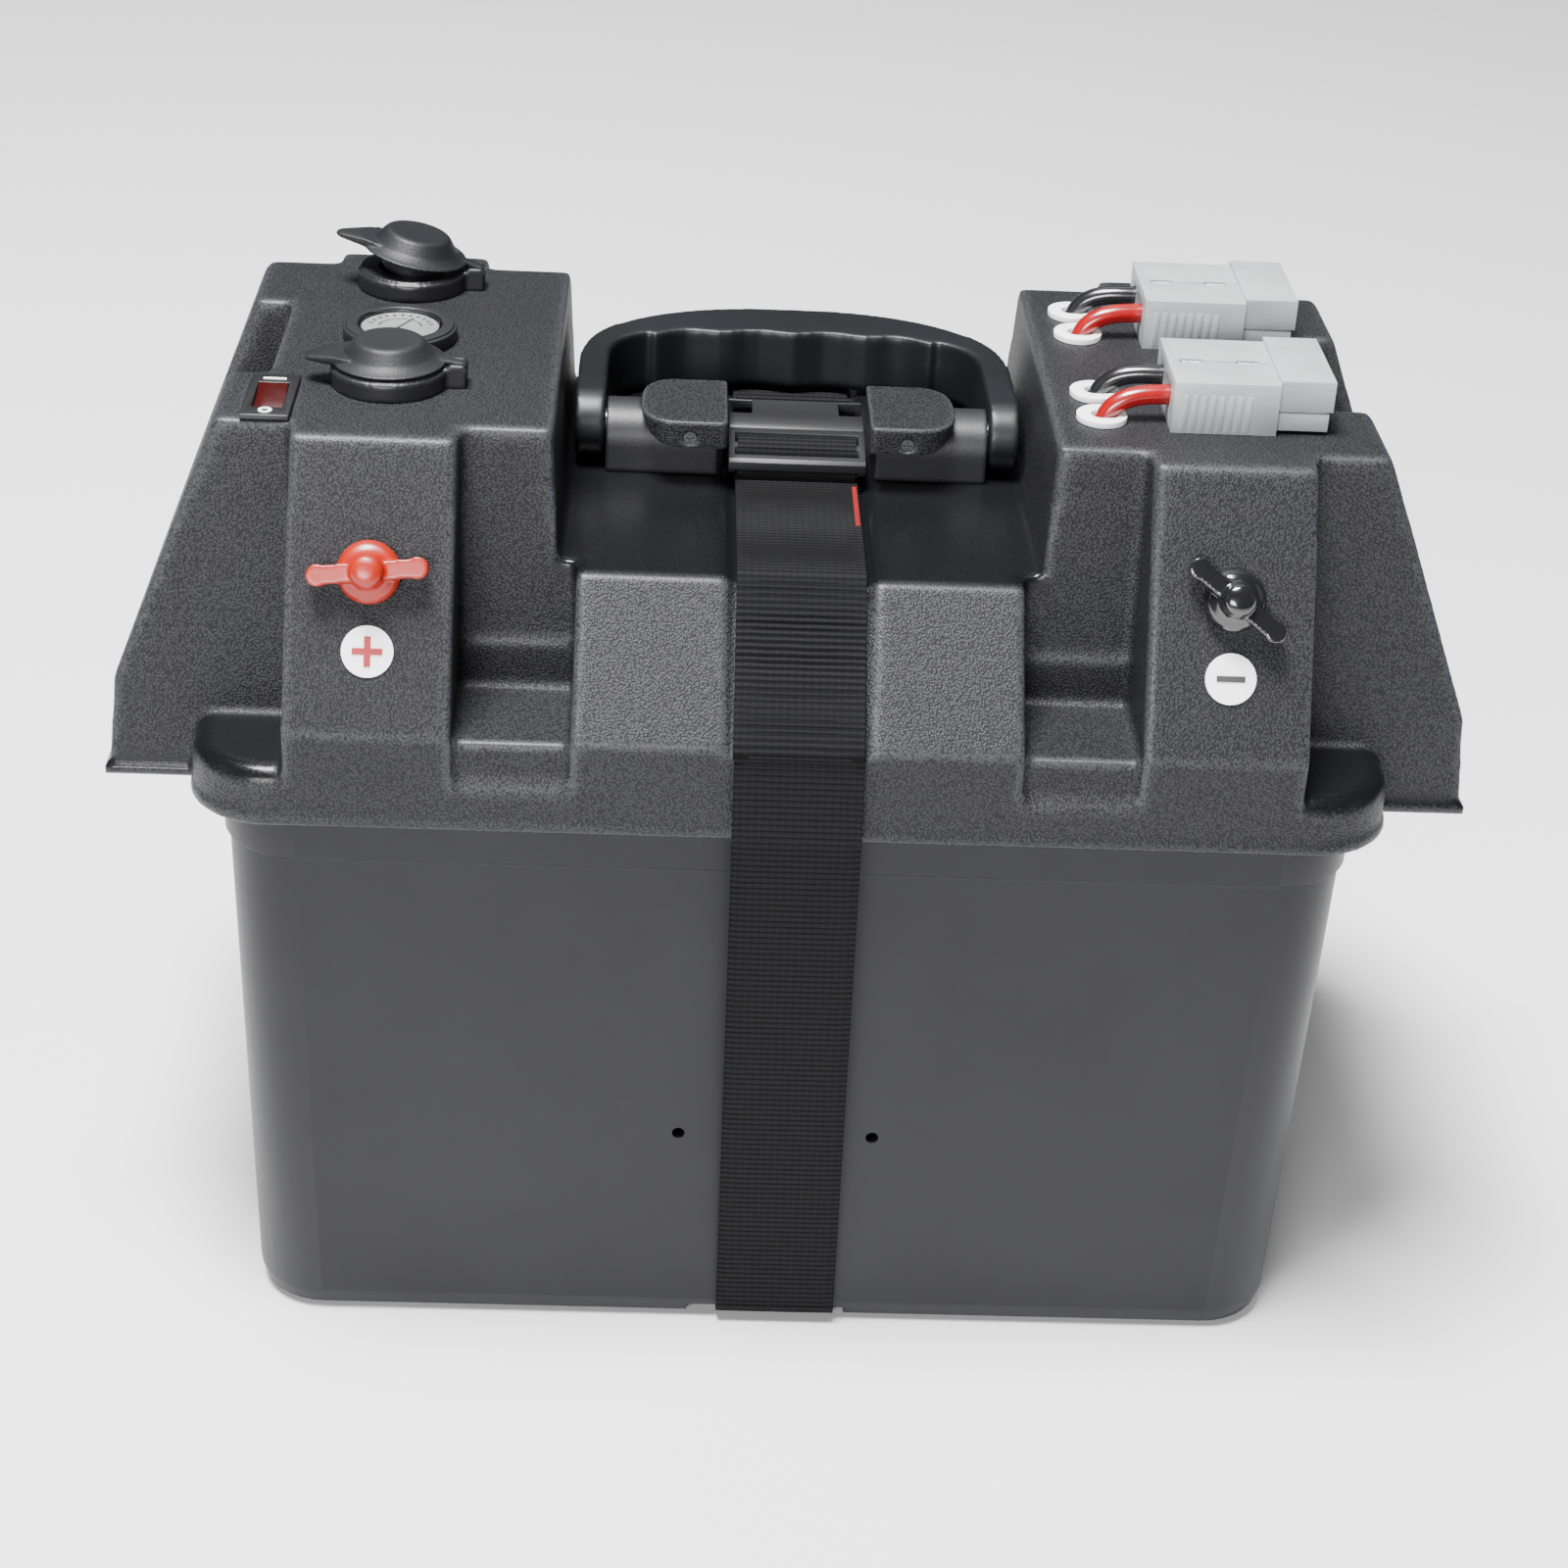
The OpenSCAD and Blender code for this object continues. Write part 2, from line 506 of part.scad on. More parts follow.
// ---- 12 V sockets ----
module socket() {
    z1 = top_z + flange_h;
    difference() {
        union() {
            rod(flange_r, top_z, z1 - 1);
            rod(flange_r - 1, z1 - 1, z1);
            rod(barrel_r, top_z - 44, top_z);
        }
        rod(bore_r, top_z - 41, z1 + 1);
        rod(3, top_z - 45, top_z - 40);
    }
    // hinge lugs
    for (k = [-1, 1]) difference() {
        along_y(k * 3.2 - 1, k * 3.2 + 1, [[flange_r - 1.5, top_z], [hin_x + 1.5, top_z],
            [hin_x + 2, hin_z], [hin_x + 1, hin_z + 1.8], [flange_r + 0.8, hin_z + 1.8], [flange_r - 1.5, z1 - 1.2]]);
        translate([hin_x, 0, hin_z]) rotate([90, 0, 0]) cylinder(r = 0.95, h = 20, center = true);
    }
    translate([hin_x, 4.2, hin_z]) rotate([90, 0, 0]) cylinder(r = 0.95, h = 8.4);
}
module at_socket(i) translate([soc_x, soc_y[i], 0]) children();
module socket_front() color([0.1, 0.1, 0.11]) at_socket(0) socket();
module socket_rear() color([0.1, 0.1, 0.11]) at_socket(1) socket();
module socket_contact() {
    ring(bore_r - 0.8, bore_r, top_z - 40, top_z - 12);
    rod(3, top_z - 48, top_z - 34);
}
module socket_front_contact() color([0.8, 0.8, 0.82]) at_socket(0) socket_contact();
module socket_rear_contact() color([0.8, 0.8, 0.82]) at_socket(1) socket_contact();
module socket_nuts() color([0.12, 0.12, 0.13]) {
    for (y = [soc_y[0], soc_y[1], gau_y]) translate([soc_x, y, 0])
        ring(barrel_r, barrel_r + 2.6, top_z - lid_wall - 5, top_z - lid_wall);
}
module cap() {
    z1 = top_z + flange_h;
    rotate_extrude() polygon([[0, z1 + 0.3], [flange_r - 0.6, z1 + 0.3], [flange_r - 0.5, z1 + 0.9],
        [15.3, z1 + 1.6], [13.3, z1 + 2.9], [11.7, z1 + 5], [10.4, z1 + 6.7], [9.2, z1 + 7.2],
        [0, z1 + 7]]);
    ring(7.6, 9.7, z1 - 5.5, z1 + 1);
    // pull tab
    hull() {
        translate([-flange_r - 4.6, 0, z1 + 0.3]) cylinder(r = 3.4, h = 1.3, $fn = 32);
        translate([-9.5, 0, z1 + 0.4]) cylinder(r = 8.6, h = 2.6, $fn = 32);
    }
    // hinge arm
    difference() {
        union() {
            along_y(-1.9, 1.9, [[flange_r - 4, z1 + 0.6], [hin_x, z1 - 0.6], [hin_x, z1 + 0.9],
                [flange_r - 4, z1 + 2.2]]);
            translate([hin_x, 1.9, hin_z]) rotate([90, 0, 0]) cylinder(r = 2, h = 3.8);
        }
        translate([hin_x, 0, hin_z]) rotate([90, 0, 0]) cylinder(r = 1, h = 20, center = true);
    }
}
module cap_front() color([0.14, 0.14, 0.15]) at_socket(0) cap();
module cap_rear() color([0.14, 0.14, 0.15]) at_socket(1) translate([hin_x, 0, hin_z])
    rotate([0, cap_ajar, 0]) translate([-hin_x, 0, -hin_z]) cap();

// ---- gauge ----
module gauge_bezel() color([0.1, 0.1, 0.11]) translate([soc_x, gau_y, 0]) difference() {
    union() {
        rod(flange_r, top_z, top_z + 4.2);
        rod(flange_r - 0.9, top_z + 4.2, top_z + 5);
        rod(barrel_r, top_z - 32, top_z);
    }
    rod(12, top_z + 2.6, top_z + 6);
    rod(13, top_z + 3.9, top_z + 6);
}
module gauge_dial() color([0.95, 0.95, 0.95]) translate([soc_x, gau_y, 0])
    rod(11.9, top_z + 2.6, top_z + 3.2);
module gauge_lens() color([0.8, 0.85, 0.9, 0.4]) translate([soc_x, gau_y, 0])
    rod(12.9, top_z + 3.9, top_z + 4.7);

// ---- breaker rocker ----
module rocker_frame() color([0.1, 0.1, 0.11]) translate([rok_x, rok_y, 0]) difference() {
    union() {
        box(-7.2, 7.2, -15.8, 15.8, top_z, top_z + 1.6);
        box(-5.5, 5.5, -12.5, 12.5, top_z - 24, top_z);
    }
    box(-4.5, 4.5, -9.6, 9.6, top_z - 9.5, top_z + 5);
}
module rocker_axle() color([0.7, 0.7, 0.72]) translate([rok_x - 4.5, rok_y, top_z - 3])
    rotate([0, 90, 0]) cylinder(r = 1, h = 9);
module rocker_button() color([0.5, 0.04, 0.05]) translate([rok_x, rok_y, top_z - 3])
    rotate([8, 0, 0]) difference() {
        along_x(-4.3, 4.3, [[-8.8, 0.9], [-8.8, 3.9], [0, 3.1], [8.8, 3.9], [8.8, 0.9],
            [5, -3], [-5, -3]]);
        rotate([0, 90, 0]) translate([0, 0, -5]) cylinder(r = 1.05, h = 10);
    }
module rocker_marks() color([0.95, 0.95, 0.95]) translate([rok_x, rok_y, top_z + 1.6]) {
    box(-3.4, 3.4, 11.6, 12.6, 0, 0.25);
    translate([0, -12.4, 0]) difference() {
        ring(1.1, 2, 0, 0.25);
    }
}

// ---- terminals ----
module stud() {
    rod(stud_r, -27, 10);
}
module stud_positive() color([0.75, 0.72, 0.6]) on_panel(-1, trm_z) stud();
module stud_negative() color([0.75, 0.72, 0.6]) on_panel(1, trm_z) stud();
module stud_nuts() color([0.75, 0.72, 0.6]) for (s = [-1, 1]) on_panel(s, trm_z)
    difference() {
        translate([0, 0, -10.5]) cylinder(r = 7.5, h = 6.5, $fn = 6);
        rod(stud_r, -20, 0);
    }
module wing_nut(a) rotate([0, 0, a]) difference() {
    union() {
        rotate_extrude() polygon([[0, 0.3], [9, 0.3], [9.3, 1.2], [9.1, 3.4], [8, 5.1],
            [6.6, 5.8], [5.6, 6.6], [5, 8], [4.8, 10.4], [4, 11.6], [2.4, 12.2], [0, 12.4]]);
        for (s = [-1, 1]) {
            translate([s * (wing_span / 2 - 3.2), 0, 2.5]) cylinder(r = 3.2, h = 5.5);
            box(s > 0 ? 5 : 3.2 - wing_span / 2, s > 0 ? wing_span / 2 - 3.2 : -5, -2.7, 2.7, 2.5, 8);
        }
    }
    rod(stud_r + 0.05, -1, 10.5);
}
module wing_nut_positive() color([0.85, 0.1, 0.08]) on_panel(-1, trm_z) wing_nut(6);
module wing_nut_negative() color([0.06, 0.06, 0.06]) on_panel(1, trm_z) wing_nut(-38);
module label_discs() color([0.95, 0.95, 0.95]) for (s = [-1, 1]) on_panel(s, lab_z)
    rod(label_r, 0, 0.5);
module mark_plus() color([0.8, 0.08, 0.1]) on_panel(-1, lab_z) {
    box(-4.4, 4.4, -0.95, 0.95, 0.5, 0.8);
    box(-0.95, 0.95, -4.4, 4.4, 0.5, 0.8);
}
module mark_minus() color([0.05, 0.05, 0.05]) on_panel(1, lab_z)
    box(-4.2, 4.2, -0.9, 0.9, 0.5, 0.8);

// ---- connectors and leads ----
module cable_grommets() color([0.93, 0.93, 0.92]) for (i = [0, 1], k = [-1, 1])
    translate([grm_x, con_y[i] + k * (pole + 1.6), 0]) difference() {
        union() {
            rod(grommet_r, top_z, top_z + 1.8);
            rod(5.5, top_z - lid_wall, top_z);
            rod(grommet_r, top_z - lid_wall - 2, top_z - lid_wall);
        }
        rod(lead_d / 2 + 0.1, top_z - 10, top_z + 5);
        // room for the lead's bend
        translate([1.95, 0, 0]) rod(lead_d / 2 + 0.1, top_z - 3.2, top_z + 5);
    }
// lead route from inside the tower to the connector, before its sideways shift
lead_route = [[0, -30], [0, -12], [0, -3], [0.8, 1.2], [3.2, 4.6], [7.4, 7], [13, 8], [19, 8],
    [24, 8], [30, 8]];
module lead(i, k) {
    n = len(lead_route);
    m = 12;
    y0 = con_y[i] + k * (pole + 1.6);
    y1 = con_y[i] + k * pole;
    c = [for (q = lead_route) [grm_x + q[0], y0 + (y1 - y0) * min(1, max(0, q[0] / 19)),
        top_z + q[1]]];
    tg = [for (j = [0:n - 1]) let (d = c[min(n - 1, j + 1)] - c[max(0, j - 1)]) d / norm(d)];
    u = [0, 1, 0];
    pts = [for (j = [0:n - 1]) let (s0 = cross(tg[j], u), s = s0 / norm(s0), v = cross(s, tg[j]))
        for (a = [0:m - 1]) c[j] + (lead_d / 2) * (cos(a * 360 / m) * v + sin(a * 360 / m) * s)];
    polyhedron(pts, concat([[for (a = [0:m - 1]) a]],
        [for (j = [0:n - 2], a = [0:m - 1]) [j * m + a, (j + 1) * m + a,
            (j + 1) * m + (a + 1) % m, j * m + (a + 1) % m]],
        [[for (a = [m - 1:-1:0]) (n - 1) * m + a]]), convexity = 4);
}
module lead_front_red() color([0.85, 0.1, 0.12]) lead(0, -1);
module lead_front_black() color([0.06, 0.06, 0.06]) lead(0, 1);
module lead_rear_red() color([0.85, 0.1, 0.12]) lead(1, -1);
module lead_rear_black() color([0.06, 0.06, 0.06]) lead(1, 1);
con_rear = con_len * 0.656;                   // length of the ribbed body
module connector(i) {
    hw = con_w / 2;
    translate([con_x, con_y[i], top_z]) difference() {
        union() {
            box(0, con_rear, -hw, hw, 0, con_h);
            for (j = [0:7]) box(3 + j * 2.7, 4.4 + j * 2.7, -hw - 0.3, hw + 0.3, 1.2, con_h - 4);
            // mating half, in two steps round a core
            box(con_rear, con_len, -hw + 1.6, hw + 1.5, con_h / 2 - 0.6, con_h + 1);
            box(con_rear, con_len - 1, -hw + 1.8, hw + 1, 1.2, con_h / 2 - 1.2);
            box(con_rear, con_len - 2, -hw + 2.6, hw, 1.6, con_h);
        }
        for (k = [-1, 1]) translate([-1, k * pole, 8]) rotate([0, 90, 0])
            cylinder(r = lead_d / 2 + 0.15, h = 14);
        for (k = [-1, 1]) box(13, con_len + 1, k * pole - 5.4, k * pole + 5.4,
            con_h / 2 - 4.4, con_h / 2 + 5);
        // seam and two slots for the roll pins
        box(3, con_rear - 0.4, -0.35, 0.35, con_h - 0.5, con_h + 2);
        for (x = [7, 24]) box(x - 3.4, x + 3.4, -1.4, 1.4, con_h - 2, con_h + 2);
    }
}
module connector_front() color([0.6, 0.61, 0.62]) connector(0);
module connector_rear() color([0.6, 0.61, 0.62]) connector(1);
module contacts(i) for (k = [-1, 1]) translate([con_x, con_y[i] + k * pole, top_z]) {
    box(13.5, 25, -4, 4, con_h / 2 - 3.6, con_h / 2 + 2.4);
    box(25, con_len - 4, -4.6, 4.6, con_h / 2 + 0.4, con_h / 2 + 2.4);
}
module contacts_front() color([0.8, 0.8, 0.82]) contacts(0);
module contacts_rear() color([0.8, 0.8, 0.82]) contacts(1);
module connector_pins() color([0.8, 0.8, 0.82]) for (i = [0, 1], x = [7, 24])
    translate([con_x + x, con_y[i], top_z + con_h - 2]) rotate([0, 90, 0])
        translate([-1.1, 0, -3]) cylinder(r = 1.1, h = 6);

tub();
lid();
handle();
mount_block_left();
mount_block_right();
mount_cover_left();
mount_cover_right();
cover_screws();
pivot_pins();
strap_loop();
strap_tail();
buckle_housing();
buckle_plug();
release_prong_left();
release_prong_right();
socket_front();
socket_rear();
socket_front_contact();
socket_rear_contact();
socket_nuts();
cap_front();
cap_rear();
gauge_bezel();
gauge_dial();
gauge_lens();
rocker_frame();
rocker_axle();
rocker_button();
rocker_marks();
stud_positive();
stud_negative();
stud_nuts();
wing_nut_positive();
wing_nut_negative();
label_discs();
mark_plus();
mark_minus();
cable_grommets();
lead_front_red();
lead_front_black();
lead_rear_red();
lead_rear_black();
connector_front();
connector_rear();
contacts_front();
contacts_rear();
connector_pins();
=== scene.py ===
# %% [markdown]
# # A battery box, finished piece by piece
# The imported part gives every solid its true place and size, in metres. This
# lesson dresses it: each moulding gets the soft edges that a real moulding has,
# the webbing gets its ribs, and every surface gets a procedural finish.
# Nothing is moved. A CAD solid is either kept and painted, or a finer piece is
# made from it and stands for it.

# %% Load the frame
import math
import bmesh
import bpy
from mathutils import Matrix, Vector


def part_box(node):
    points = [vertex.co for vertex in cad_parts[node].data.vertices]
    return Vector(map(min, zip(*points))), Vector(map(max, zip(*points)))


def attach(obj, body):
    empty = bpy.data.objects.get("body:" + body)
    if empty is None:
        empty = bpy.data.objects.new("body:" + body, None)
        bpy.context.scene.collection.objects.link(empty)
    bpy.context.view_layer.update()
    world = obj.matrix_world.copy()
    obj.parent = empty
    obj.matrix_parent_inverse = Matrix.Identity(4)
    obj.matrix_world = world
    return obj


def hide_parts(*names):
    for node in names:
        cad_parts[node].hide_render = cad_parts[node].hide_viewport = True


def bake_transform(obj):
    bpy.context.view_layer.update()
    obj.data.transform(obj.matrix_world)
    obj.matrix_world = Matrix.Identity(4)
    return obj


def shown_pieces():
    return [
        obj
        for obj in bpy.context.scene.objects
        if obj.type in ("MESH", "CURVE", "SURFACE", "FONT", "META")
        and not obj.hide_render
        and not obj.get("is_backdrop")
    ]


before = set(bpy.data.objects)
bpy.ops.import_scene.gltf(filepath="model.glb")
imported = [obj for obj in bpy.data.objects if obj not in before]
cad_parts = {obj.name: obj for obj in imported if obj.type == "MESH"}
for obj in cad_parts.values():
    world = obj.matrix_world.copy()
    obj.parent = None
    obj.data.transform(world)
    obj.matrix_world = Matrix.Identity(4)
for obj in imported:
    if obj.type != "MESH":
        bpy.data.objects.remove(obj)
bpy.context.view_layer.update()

MM = 0.001

# %% [markdown]
# ## Camera
# The box is seen from a little above, with a long lens, and the horizon leans
# three degrees. A camera can be placed by angles, but a matrix built from its
# right, up and backward directions is easier to reason about, and it holds the
# lean without any Euler order to remember.

# %% Place the camera
yaw, pitch, roll = math.radians(2.77), math.radians(29.03), math.radians(3.09)
look = Vector((math.sin(yaw) * math.cos(pitch),
               math.cos(yaw) * math.cos(pitch),
               -math.sin(pitch)))
level = Vector((math.cos(yaw), -math.sin(yaw), 0))
upright = level.cross(look)
right = level * math.cos(roll) + upright * math.sin(roll)
above = upright * math.cos(roll) - level * math.sin(roll)
sensor_width = 36
frame_width, focal_length = 1600, 3140.6  # in one unit, so only their ratio counts
lens = bpy.data.cameras.new("studio_camera")
lens.sensor_width = sensor_width
lens.lens = sensor_width * focal_length / frame_width
lens.clip_start, lens.clip_end = 0.05, 50
camera = bpy.data.objects.new("studio_camera", lens)
bpy.context.scene.collection.objects.link(camera)
camera.matrix_world = Matrix((
    (right.x, above.x, -look.x, -0.0415),
    (right.y, above.y, -look.y, -0.8969),
    (right.z, above.z, -look.z, 0.6409),
    (0, 0, 0, 1)))
bpy.context.scene.camera = camera
print("camera lens:", round(lens.lens, 1), "mm")

# %% [markdown]
# ## Studio
# A dark plastic box shows its form only through what it reflects. A large soft
# key lamp, almost overhead, lights all that faces up and leaves upright faces
# darker. A lower one in front shines in the leaning panels. A lamp behind draws
# the rear edges, and each side gets a weak fill. The floor is a plain pale
# sheet, large enough to fill the view.

# %% Floor and lamps
FLOOR_REACH = 6.0  # metres from the middle to each side
WORLD_STRENGTH = 0.05

def pale_floor():
    bm = bmesh.new()
    bmesh.ops.create_grid(bm, x_segments=1, y_segments=1, size=FLOOR_REACH)
    mesh = bpy.data.meshes.new("studio_floor")
    bm.to_mesh(mesh)
    bm.free()
    floor = bpy.data.objects.new("studio_floor", mesh)
    bpy.context.scene.collection.objects.link(floor)
    floor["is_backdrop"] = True
    return floor

def soft_lamp(name, place, aim, size, power):
    lamp = bpy.data.lights.new(name, "AREA")
    lamp.shape = "RECTANGLE"
    lamp.size, lamp.size_y = size
    lamp.energy = power
    obj = bpy.data.objects.new(name, lamp)
    bpy.context.scene.collection.objects.link(obj)
    obj.location = place
    obj.rotation_euler = (Vector(aim) - Vector(place)).to_track_quat("-Z", "Y").to_euler()

studio_floor = pale_floor()
soft_lamp("key_softbox", (-0.35, -0.3, 2.3), (0, 0, 0.2), (1.0, 0.6), 235)
soft_lamp("low_front_softbox", (-0.75, -2.9, 1.15), (0, 0, 0.25), (1.3, 0.6), 105)
soft_lamp("back_softbox", (0.2, 1.5, 2.2), (0, 0, 0.25), (1.8, 0.8), 8)
soft_lamp("left_fill", (-2.2, -0.6, 1.2), (0, 0, 0.15), (0.8, 1.2), 2)
soft_lamp("right_fill", (2.2, -0.5, 1.2), (0, 0, 0.15), (0.8, 1.2), 1)
world = bpy.data.worlds.new("studio_air")
bpy.context.scene.world = world
world.use_nodes = True
air = world.node_tree.nodes["Background"]
air.inputs["Color"].default_value = (0.85, 0.88, 0.92, 1)
air.inputs["Strength"].default_value = WORLD_STRENGTH

# %% [markdown]
# ## Node helpers for finishes
# Every finish is a Principled shader. Numbers that are the same all over the
# surface are typed on the shader itself. Only what varies, such as grain, is
# wired. Patterns are read from Object coordinates, which stay with the piece.

# %% Shader helpers
def finish(name, colour, roughness, **constants):
    mat = bpy.data.materials.new(name)
    mat.use_nodes = True
    shader = mat.node_tree.nodes["Principled BSDF"]
    shader.inputs["Base Color"].default_value = (*colour, 1)
    shader.inputs["Roughness"].default_value = roughness
    for key, value in constants.items():
        shader.inputs[key.replace("_", " ")].default_value = value
    return mat, mat.node_tree, shader

def add_node(tree, kind, **settings):
    node = tree.nodes.new(kind)
    for key, value in settings.items():
        if key in node.inputs:
            node.inputs[key].default_value = value
        else:
            setattr(node, key, value)
    return node

def calc(tree, operation, a, b=None, clamp=False):
    node = tree.nodes.new("ShaderNodeMath")
    node.operation = operation
    node.use_clamp = clamp
    for socket, value in zip(node.inputs, (a, b)):
        if value is None:
            continue
        if isinstance(value, (int, float)):
            socket.default_value = value
        else:
            tree.links.new(value, socket)
    return node.outputs[0]

def grain(tree, scale, detail=2.0, rough=0.5):
    place = add_node(tree, "ShaderNodeTexCoord").outputs["Object"]
    noise = add_node(tree, "ShaderNodeTexNoise", Scale=scale, Detail=detail, Roughness=rough)
    tree.links.new(place, noise.inputs["Vector"])
    return noise.outputs["Fac"]

def between(tree, factor, low, high):
    span = add_node(tree, "ShaderNodeMapRange")
    span.inputs["From Min"].default_value, span.inputs["From Max"].default_value = 0, 1
    span.inputs["To Min"].default_value, span.inputs["To Max"].default_value = low, high
    tree.links.new(factor, span.inputs["Value"])
    return span.outputs["Result"]

def tint(tree, shader, factor, dark, light, low=0.0, high=1.0):
    ramp = add_node(tree, "ShaderNodeValToRGB")
    ramp.color_ramp.elements[0].position, ramp.color_ramp.elements[1].position = low, high
    ramp.color_ramp.elements[0].color = (*dark, 1)
    ramp.color_ramp.elements[1].color = (*light, 1)
    tree.links.new(factor, ramp.inputs["Fac"])
    tree.links.new(ramp.outputs["Color"], shader.inputs["Base Color"])
    return ramp

def relief(tree, shader, height, depth):
    bump = add_node(tree, "ShaderNodeBump", Strength=1.0, Distance=depth)
    tree.links.new(height, bump.inputs["Height"])
    tree.links.new(bump.outputs["Normal"], shader.inputs["Normal"])

# %% [markdown]
# ## Finishes of the mouldings
# The lid comes from a tool with a fine pebble texture, but its deck, its
# corner roofs and the lip of its skirt are polished. One finish covers both:
# the piece carries a `polish` attribute, 1 where the tool was polished, and it
# fades the pebbles out. An `edge` attribute marks the rounded edges, which wear
# smoother and get a painted highlight: a paler colour.

# %% Pebbled, satin and rubber finishes
PEBBLE_DEPTH = 0.00016

def pebbled_plastic():
    mat, tree, shader = finish("lid_pebbled_black", (0.04, 0.04, 0.042), 0.5,
                               Specular_IOR_Level=0.24)
    polish = add_node(tree, "ShaderNodeAttribute", attribute_name="polish").outputs["Fac"]
    edge = add_node(tree, "ShaderNodeAttribute", attribute_name="edge").outputs["Fac"]
    place = add_node(tree, "ShaderNodeTexCoord").outputs["Object"]
    cells = add_node(tree, "ShaderNodeTexVoronoi", feature="SMOOTH_F1", Scale=1500, Smoothness=0.3)
    tree.links.new(place, cells.inputs["Vector"])
    hollow = calc(tree, "MULTIPLY", cells.outputs["Distance"], 1.15)
    fine = calc(tree, "SUBTRACT", 1.0, hollow, clamp=True)
    wide = grain(tree, 9, 3, 0.6)
    rough = calc(tree, "SUBTRACT", between(tree, fine, 0.62, 0.44),
                 calc(tree, "MULTIPLY", polish, 0.24))
    rough = calc(tree, "SUBTRACT", rough, calc(tree, "MULTIPLY", edge, 0.14))
    tree.links.new(rough, shader.inputs["Roughness"])
    shade = calc(tree, "ADD", calc(tree, "MULTIPLY", fine, 0.75), calc(tree, "MULTIPLY", wide, 0.15))
    # painted highlight: the rounded edges get a paler colour
    shade = calc(tree, "ADD", shade, calc(tree, "MULTIPLY", edge, 0.35), clamp=True)
    shade = calc(tree, "SUBTRACT", shade, calc(tree, "MULTIPLY", polish, 0.55), clamp=True)
    tint(tree, shader, shade, (0.004, 0.004, 0.005), (0.042, 0.042, 0.048), 0.3, 1.0)
    worn = calc(tree, "ADD", calc(tree, "MULTIPLY", polish, 0.93),
                calc(tree, "MULTIPLY", edge, 0.8), clamp=True)
    height = calc(tree, "MULTIPLY", fine, calc(tree, "SUBTRACT", 1.0, worn))
    relief(tree, shader, height, PEBBLE_DEPTH)
    return mat

def satin_plastic(name, dark, light, roughness, depth=0.00002, scale=420, shine=0.4):
    mat, tree, shader = finish(name, light, roughness, Specular_IOR_Level=shine)
    wide = grain(tree, 14, 4, 0.62)
    tint(tree, shader, wide, dark, light, 0.3, 0.7)
    fine = grain(tree, scale, 2, 0.5)
    mixed = calc(tree, "ADD", calc(tree, "MULTIPLY", wide, 0.7), calc(tree, "MULTIPLY", fine, 0.3))
    tree.links.new(between(tree, mixed, roughness - 0.06, roughness + 0.08),
                   shader.inputs["Roughness"])
    relief(tree, shader, fine, depth)
    return mat

studio_floor.data.materials.append(finish("studio_paper", (0.8, 0.8, 0.8), 0.9)[0])
lid_finish = pebbled_plastic()
tub_finish = satin_plastic("tub_satin_black", (0.007, 0.007, 0.009), (0.011, 0.011, 0.014),
                           0.42, 0.00003, 260, 0.22)
block_finish = satin_plastic("block_satin_black", (0.009, 0.009, 0.011), (0.015, 0.015, 0.017),
                             0.45, 0.00005, 900)
handle_finish = satin_plastic("handle_satin_black", (0.003, 0.0034, 0.0048), (0.0055, 0.006, 0.008),
                              0.44, 0.00003, 500)
fitting_finish = satin_plastic("fitting_satin_black", (0.008, 0.008, 0.009), (0.013, 0.013, 0.015),
                               0.4, 0.00004, 900)
cap_finish = satin_plastic("cap_soft_rubber", (0.007, 0.007, 0.009), (0.012, 0.012, 0.014),
                           0.48, 0.00008, 1100, 0.28)
buckle_finish = satin_plastic("buckle_acetal_black", (0.006, 0.006, 0.007), (0.010, 0.010, 0.012),
                              0.44, 0.00003, 700)
print("finishes:", len(bpy.data.materials))

# %% [markdown]
# ## Gloss finishes, metals and prints
# Dipped wing nuts and PVC leads are glossy with a faint unevenness. The plain
# connector housings are dull grey nylon. Metals only need a fine brushed
# roughness. The dial's ticks come from the angle round its own middle.

# %% Gloss, nylon and metal finishes
def gloss_plastic(name, colour, roughness, coat=0.4):
    mat, tree, shader = finish(name, colour, roughness, Coat_Weight=coat, Coat_Roughness=0.12)
    wide = grain(tree, 120, 3, 0.6)
    dark = tuple(c * 0.8 for c in colour)
    tint(tree, shader, wide, dark, colour, 0.3, 0.7)
    tree.links.new(between(tree, wide, roughness - 0.05, roughness + 0.08), shader.inputs["Roughness"])
    relief(tree, shader, wide, 0.00012)
    return mat

def metal(name, colour, roughness):
    mat, tree, shader = finish(name, colour, roughness, Metallic=1.0)
    fine = grain(tree, 700, 4, 0.65)
    tint(tree, shader, fine, tuple(c * 0.75 for c in colour), colour, 0.3, 0.7)
    tree.links.new(between(tree, fine, roughness - 0.07, roughness + 0.1), shader.inputs["Roughness"])
    relief(tree, shader, fine, 0.00002)
    return mat

def nylon(name, dark, light):
    mat, tree, shader = finish(name, light, 0.5)
    wide = grain(tree, 60, 4, 0.6)
    fine = grain(tree, 1400, 2, 0.5)
    tint(tree, shader, wide, dark, light, 0.3, 0.7)
    tree.links.new(between(tree, fine, 0.42, 0.58), shader.inputs["Roughness"])
    relief(tree, shader, fine, 0.00006)
    return mat

